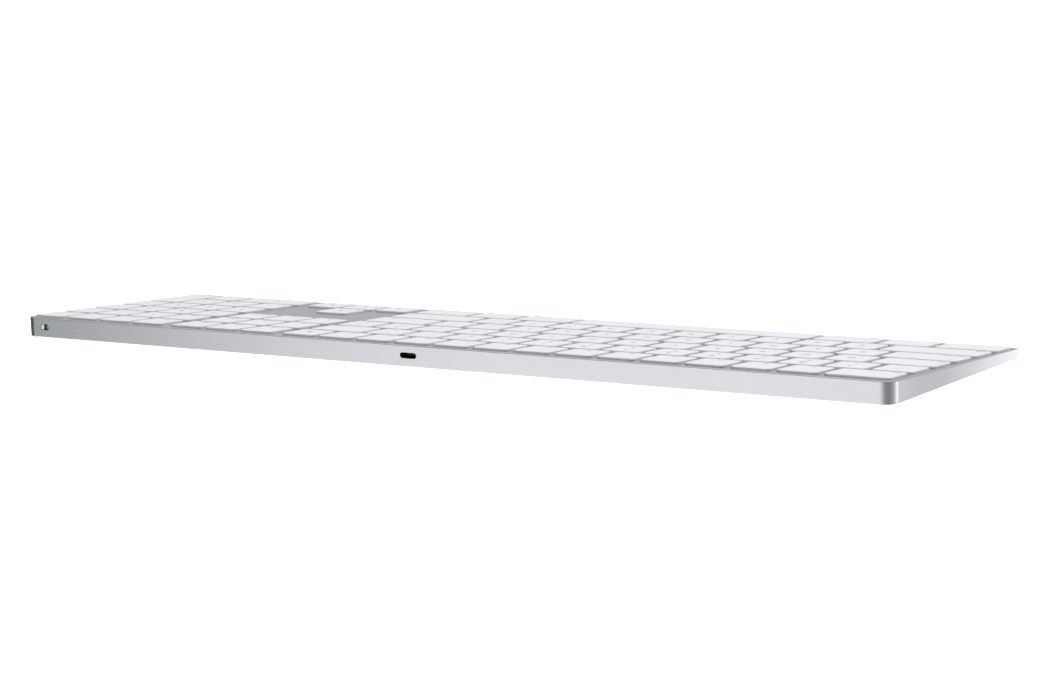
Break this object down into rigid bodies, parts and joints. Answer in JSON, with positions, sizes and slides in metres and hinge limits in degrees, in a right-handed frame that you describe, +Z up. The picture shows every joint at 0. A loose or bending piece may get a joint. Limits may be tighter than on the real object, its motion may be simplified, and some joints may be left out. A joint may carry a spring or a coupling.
{
  "type": "keyboard with numeric keypad",
  "caption": "Slim full-size wireless keyboard with a numeric keypad: wedge-shaped aluminium case, low scissor keys, rear charging port and power switch.",
  "frame": {"origin": "on the surface the keyboard stands on, under the middle of its footprint", "axes": "+X to the right of the person typing, towards the numeric keypad; +Y away from them, towards the charging port; +Z up"},
  "size_m": [0.4188, 0.115, 0.0104],
  "materials": {
    "case_aluminium": "fine-blasted and anodised in natural silver",
    "cover_plastic": "moulded, fine texture",
    "adhesive_foam": "thin foam tape",
    "foot_rubber": "moulded, matt",
    "keycap_plastic": "moulded, satin",
    "sheet_steel": "rolled sheet, zinc plated",
    "screw_steel": "plated",
    "wire_steel": "drawn spring wire",
    "film_polyester": "printed film",
    "dome_silicone": "moulded silicone",
    "scissor_plastic": "moulded acetal",
    "circuit_board": "solder mask over laminate",
    "chip_plastic": "moulded epoxy",
    "battery_wrap": "wrapped film",
    "flex_film": "copper on polyimide film",
    "port_steel": "drawn steel sleeve",
    "port_plastic": "moulded black insulator",
    "switch_plastic": "moulded, bright",
    "flag_green": "painted pad",
    "light_lens": "clear moulded lens",
    "antenna_foil": "copper foil"
  },
  "bodies": {
    "root": {"antenna": "antenna_foil", "base_plate_screws": "screw_steel", "battery_lead": "flex_film", "battery_pack": "battery_wrap", "board_components": "chip_plastic", "bottom_cover": "cover_plastic", "charging_port_shell": "port_steel", "charging_port_tongue": "port_plastic", "cover_adhesive": "adhesive_foam", "key_base_plate": "sheet_steel", "logic_board": "circuit_board", "membrane_tail": "film_polyester", "port_bracket": "screw_steel", "power_switch_housing": "chip_plastic", "rubber_domes": "dome_silicone", "rubber_feet": "foot_rubber", "scissor_inner_frames": "scissor_plastic", "scissor_outer_frames": "scissor_plastic", "stabiliser_bars": "wire_steel", "switch_membrane": "film_polyester", "top_case": "case_aluminium"},
    "function_keys": {"function_keys": "keycap_plastic"},
    "home_letter_keys": {"home_letter_keys": "keycap_plastic"},
    "key_caps_lock": {"key_caps_lock": "keycap_plastic", "caps_lock_light": "light_lens"},
    "key_down": {"key_down": "keycap_plastic"},
    "key_escape": {"key_escape": "keycap_plastic"},
    "key_left": {"key_left": "keycap_plastic"},
    "key_left_shift": {"key_left_shift": "keycap_plastic"},
    "key_return": {"key_return": "keycap_plastic"},
    "key_right": {"key_right": "keycap_plastic"},
    "key_right_shift": {"key_right_shift": "keycap_plastic"},
    "key_space": {"key_space": "keycap_plastic"},
    "key_up": {"key_up": "keycap_plastic"},
    "keypad_0": {"keypad_0": "keycap_plastic"},
    "keypad_1": {"keypad_1": "keycap_plastic"},
    "keypad_2": {"keypad_2": "keycap_plastic"},
    "keypad_3": {"keypad_3": "keycap_plastic"},
    "keypad_4": {"keypad_4": "keycap_plastic"},
    "keypad_5": {"keypad_5": "keycap_plastic"},
    "keypad_6": {"keypad_6": "keycap_plastic"},
    "keypad_7": {"keypad_7": "keycap_plastic"},
    "keypad_8": {"keypad_8": "keycap_plastic"},
    "keypad_9": {"keypad_9": "keycap_plastic"},
    "keypad_clear": {"keypad_clear": "keycap_plastic"},
    "keypad_divide": {"keypad_divide": "keycap_plastic"},
    "keypad_enter": {"keypad_enter": "keycap_plastic"},
    "keypad_equals": {"keypad_equals": "keycap_plastic"},
    "keypad_minus": {"keypad_minus": "keycap_plastic"},
    "keypad_multiply": {"keypad_multiply": "keycap_plastic"},
    "keypad_plus": {"keypad_plus": "keycap_plastic"},
    "keypad_point": {"keypad_point": "keycap_plastic"},
    "lower_letter_keys": {"lower_letter_keys": "keycap_plastic"},
    "modifier_keys": {"modifier_keys": "keycap_plastic"},
    "navigation_keys": {"navigation_keys": "keycap_plastic"},
    "number_row_keys": {"number_row_keys": "keycap_plastic"},
    "upper_function_keys": {"upper_function_keys": "keycap_plastic"},
    "upper_letter_keys": {"upper_letter_keys": "keycap_plastic"},
    "power_switch": {"power_switch_slider": "switch_plastic", "power_switch_flag": "flag_green"}
  },
  "joints": [
    {"name": "function_keys_travel", "type": "slide", "parent": "root", "child": "function_keys", "axis": [0, -0.0478, 0.9989], "range_m": [-0.001, 0], "stiffness_N_per_m": 600, "springref_m": 0.0005, "deforming": ["rubber_domes", "scissor_outer_frames", "scissor_inner_frames", "stabiliser_bars"]},
    {"name": "home_letter_keys_travel", "type": "slide", "parent": "root", "child": "home_letter_keys", "axis": [0, -0.0478, 0.9989], "range_m": [-0.001, 0], "stiffness_N_per_m": 600, "springref_m": 0.0005, "deforming": ["rubber_domes", "scissor_outer_frames", "scissor_inner_frames", "stabiliser_bars"]},
    {"name": "key_caps_lock_travel", "type": "slide", "parent": "root", "child": "key_caps_lock", "axis": [0, -0.0478, 0.9989], "range_m": [-0.001, 0], "stiffness_N_per_m": 600, "springref_m": 0.0005, "deforming": ["rubber_domes", "scissor_outer_frames", "scissor_inner_frames", "stabiliser_bars"]},
    {"name": "key_down_travel", "type": "slide", "parent": "root", "child": "key_down", "axis": [0, -0.0478, 0.9989], "range_m": [-0.001, 0], "stiffness_N_per_m": 600, "springref_m": 0.0005, "deforming": ["rubber_domes", "scissor_outer_frames", "scissor_inner_frames", "stabiliser_bars"]},
    {"name": "key_escape_travel", "type": "slide", "parent": "root", "child": "key_escape", "axis": [0, -0.0478, 0.9989], "range_m": [-0.001, 0], "stiffness_N_per_m": 600, "springref_m": 0.0005, "deforming": ["rubber_domes", "scissor_outer_frames", "scissor_inner_frames", "stabiliser_bars"]},
    {"name": "key_left_travel", "type": "slide", "parent": "root", "child": "key_left", "axis": [0, -0.0478, 0.9989], "range_m": [-0.001, 0], "stiffness_N_per_m": 600, "springref_m": 0.0005, "deforming": ["rubber_domes", "scissor_outer_frames", "scissor_inner_frames", "stabiliser_bars"]},
    {"name": "key_left_shift_travel", "type": "slide", "parent": "root", "child": "key_left_shift", "axis": [0, -0.0478, 0.9989], "range_m": [-0.001, 0], "stiffness_N_per_m": 600, "springref_m": 0.0005, "deforming": ["rubber_domes", "scissor_outer_frames", "scissor_inner_frames", "stabiliser_bars"]},
    {"name": "key_return_travel", "type": "slide", "parent": "root", "child": "key_return", "axis": [0, -0.0478, 0.9989], "range_m": [-0.001, 0], "stiffness_N_per_m": 600, "springref_m": 0.0005, "deforming": ["rubber_domes", "scissor_outer_frames", "scissor_inner_frames", "stabiliser_bars"]},
    {"name": "key_right_travel", "type": "slide", "parent": "root", "child": "key_right", "axis": [0, -0.0478, 0.9989], "range_m": [-0.001, 0], "stiffness_N_per_m": 600, "springref_m": 0.0005, "deforming": ["rubber_domes", "scissor_outer_frames", "scissor_inner_frames", "stabiliser_bars"]},
    {"name": "key_right_shift_travel", "type": "slide", "parent": "root", "child": "key_right_shift", "axis": [0, -0.0478, 0.9989], "range_m": [-0.001, 0], "stiffness_N_per_m": 600, "springref_m": 0.0005, "deforming": ["rubber_domes", "scissor_outer_frames", "scissor_inner_frames", "stabiliser_bars"]},
    {"name": "key_space_travel", "type": "slide", "parent": "root", "child": "key_space", "axis": [0, -0.0478, 0.9989], "range_m": [-0.001, 0], "stiffness_N_per_m": 600, "springref_m": 0.0005, "deforming": ["rubber_domes", "scissor_outer_frames", "scissor_inner_frames", "stabiliser_bars"]},
    {"name": "key_up_travel", "type": "slide", "parent": "root", "child": "key_up", "axis": [0, -0.0478, 0.9989], "range_m": [-0.001, 0], "stiffness_N_per_m": 600, "springref_m": 0.0005, "deforming": ["rubber_domes", "scissor_outer_frames", "scissor_inner_frames", "stabiliser_bars"]},
    {"name": "keypad_0_travel", "type": "slide", "parent": "root", "child": "keypad_0", "axis": [0, -0.0478, 0.9989], "range_m": [-0.001, 0], "stiffness_N_per_m": 600, "springref_m": 0.0005, "deforming": ["rubber_domes", "scissor_outer_frames", "scissor_inner_frames", "stabiliser_bars"]},
    {"name": "keypad_1_travel", "type": "slide", "parent": "root", "child": "keypad_1", "axis": [0, -0.0478, 0.9989], "range_m": [-0.001, 0], "stiffness_N_per_m": 600, "springref_m": 0.0005, "deforming": ["rubber_domes", "scissor_outer_frames", "scissor_inner_frames", "stabiliser_bars"]},
    {"name": "keypad_2_travel", "type": "slide", "parent": "root", "child": "keypad_2", "axis": [0, -0.0478, 0.9989], "range_m": [-0.001, 0], "stiffness_N_per_m": 600, "springref_m": 0.0005, "deforming": ["rubber_domes", "scissor_outer_frames", "scissor_inner_frames", "stabiliser_bars"]},
    {"name": "keypad_3_travel", "type": "slide", "parent": "root", "child": "keypad_3", "axis": [0, -0.0478, 0.9989], "range_m": [-0.001, 0], "stiffness_N_per_m": 600, "springref_m": 0.0005, "deforming": ["rubber_domes", "scissor_outer_frames", "scissor_inner_frames", "stabiliser_bars"]},
    {"name": "keypad_4_travel", "type": "slide", "parent": "root", "child": "keypad_4", "axis": [0, -0.0478, 0.9989], "range_m": [-0.001, 0], "stiffness_N_per_m": 600, "springref_m": 0.0005, "deforming": ["rubber_domes", "scissor_outer_frames", "scissor_inner_frames", "stabiliser_bars"]},
    {"name": "keypad_5_travel", "type": "slide", "parent": "root", "child": "keypad_5", "axis": [0, -0.0478, 0.9989], "range_m": [-0.001, 0], "stiffness_N_per_m": 600, "springref_m": 0.0005, "deforming": ["rubber_domes", "scissor_outer_frames", "scissor_inner_frames", "stabiliser_bars"]},
    {"name": "keypad_6_travel", "type": "slide", "parent": "root", "child": "keypad_6", "axis": [0, -0.0478, 0.9989], "range_m": [-0.001, 0], "stiffness_N_per_m": 600, "springref_m": 0.0005, "deforming": ["rubber_domes", "scissor_outer_frames", "scissor_inner_frames", "stabiliser_bars"]},
    {"name": "keypad_7_travel", "type": "slide", "parent": "root", "child": "keypad_7", "axis": [0, -0.0478, 0.9989], "range_m": [-0.001, 0], "stiffness_N_per_m": 600, "springref_m": 0.0005, "deforming": ["rubber_domes", "scissor_outer_frames", "scissor_inner_frames", "stabiliser_bars"]},
    {"name": "keypad_8_travel", "type": "slide", "parent": "root", "child": "keypad_8", "axis": [0, -0.0478, 0.9989], "range_m": [-0.001, 0], "stiffness_N_per_m": 600, "springref_m": 0.0005, "deforming": ["rubber_domes", "scissor_outer_frames", "scissor_inner_frames", "stabiliser_bars"]},
    {"name": "keypad_9_travel", "type": "slide", "parent": "root", "child": "keypad_9", "axis": [0, -0.0478, 0.9989], "range_m": [-0.001, 0], "stiffness_N_per_m": 600, "springref_m": 0.0005, "deforming": ["rubber_domes", "scissor_outer_frames", "scissor_inner_frames", "stabiliser_bars"]},
    {"name": "keypad_clear_travel", "type": "slide", "parent": "root", "child": "keypad_clear", "axis": [0, -0.0478, 0.9989], "range_m": [-0.001, 0], "stiffness_N_per_m": 600, "springref_m": 0.0005, "deforming": ["rubber_domes", "scissor_outer_frames", "scissor_inner_frames", "stabiliser_bars"]},
    {"name": "keypad_divide_travel", "type": "slide", "parent": "root", "child": "keypad_divide", "axis": [0, -0.0478, 0.9989], "range_m": [-0.001, 0], "stiffness_N_per_m": 600, "springref_m": 0.0005, "deforming": ["rubber_domes", "scissor_outer_frames", "scissor_inner_frames", "stabiliser_bars"]},
    {"name": "keypad_enter_travel", "type": "slide", "parent": "root", "child": "keypad_enter", "axis": [0, -0.0478, 0.9989], "range_m": [-0.001, 0], "stiffness_N_per_m": 600, "springref_m": 0.0005, "deforming": ["rubber_domes", "scissor_outer_frames", "scissor_inner_frames", "stabiliser_bars"]},
    {"name": "keypad_equals_travel", "type": "slide", "parent": "root", "child": "keypad_equals", "axis": [0, -0.0478, 0.9989], "range_m": [-0.001, 0], "stiffness_N_per_m": 600, "springref_m": 0.0005, "deforming": ["rubber_domes", "scissor_outer_frames", "scissor_inner_frames", "stabiliser_bars"]},
    {"name": "keypad_minus_travel", "type": "slide", "parent": "root", "child": "keypad_minus", "axis": [0, -0.0478, 0.9989], "range_m": [-0.001, 0], "stiffness_N_per_m": 600, "springref_m": 0.0005, "deforming": ["rubber_domes", "scissor_outer_frames", "scissor_inner_frames", "stabiliser_bars"]},
    {"name": "keypad_multiply_travel", "type": "slide", "parent": "root", "child": "keypad_multiply", "axis": [0, -0.0478, 0.9989], "range_m": [-0.001, 0], "stiffness_N_per_m": 600, "springref_m": 0.0005, "deforming": ["rubber_domes", "scissor_outer_frames", "scissor_inner_frames", "stabiliser_bars"]},
    {"name": "keypad_plus_travel", "type": "slide", "parent": "root", "child": "keypad_plus", "axis": [0, -0.0478, 0.9989], "range_m": [-0.001, 0], "stiffness_N_per_m": 600, "springref_m": 0.0005, "deforming": ["rubber_domes", "scissor_outer_frames", "scissor_inner_frames", "stabiliser_bars"]},
    {"name": "keypad_point_travel", "type": "slide", "parent": "root", "child": "keypad_point", "axis": [0, -0.0478, 0.9989], "range_m": [-0.001, 0], "stiffness_N_per_m": 600, "springref_m": 0.0005, "deforming": ["rubber_domes", "scissor_outer_frames", "scissor_inner_frames", "stabiliser_bars"]},
    {"name": "lower_letter_keys_travel", "type": "slide", "parent": "root", "child": "lower_letter_keys", "axis": [0, -0.0478, 0.9989], "range_m": [-0.001, 0], "stiffness_N_per_m": 600, "springref_m": 0.0005, "deforming": ["rubber_domes", "scissor_outer_frames", "scissor_inner_frames", "stabiliser_bars"]},
    {"name": "modifier_keys_travel", "type": "slide", "parent": "root", "child": "modifier_keys", "axis": [0, -0.0478, 0.9989], "range_m": [-0.001, 0], "stiffness_N_per_m": 600, "springref_m": 0.0005, "deforming": ["rubber_domes", "scissor_outer_frames", "scissor_inner_frames", "stabiliser_bars"]},
    {"name": "navigation_keys_travel", "type": "slide", "parent": "root", "child": "navigation_keys", "axis": [0, -0.0478, 0.9989], "range_m": [-0.001, 0], "stiffness_N_per_m": 600, "springref_m": 0.0005, "deforming": ["rubber_domes", "scissor_outer_frames", "scissor_inner_frames", "stabiliser_bars"]},
    {"name": "number_row_keys_travel", "type": "slide", "parent": "root", "child": "number_row_keys", "axis": [0, -0.0478, 0.9989], "range_m": [-0.001, 0], "stiffness_N_per_m": 600, "springref_m": 0.0005, "deforming": ["rubber_domes", "scissor_outer_frames", "scissor_inner_frames", "stabiliser_bars"]},
    {"name": "upper_function_keys_travel", "type": "slide", "parent": "root", "child": "upper_function_keys", "axis": [0, -0.0478, 0.9989], "range_m": [-0.001, 0], "stiffness_N_per_m": 600, "springref_m": 0.0005, "deforming": ["rubber_domes", "scissor_outer_frames", "scissor_inner_frames", "stabiliser_bars"]},
    {"name": "upper_letter_keys_travel", "type": "slide", "parent": "root", "child": "upper_letter_keys", "axis": [0, -0.0478, 0.9989], "range_m": [-0.001, 0], "stiffness_N_per_m": 600, "springref_m": 0.0005, "deforming": ["rubber_domes", "scissor_outer_frames", "scissor_inner_frames", "stabiliser_bars"]},
    {"name": "power_switch_travel", "type": "slide", "parent": "root", "child": "power_switch", "axis": [1, 0, 0], "range_m": [-0.002, 0]}
  ]
}
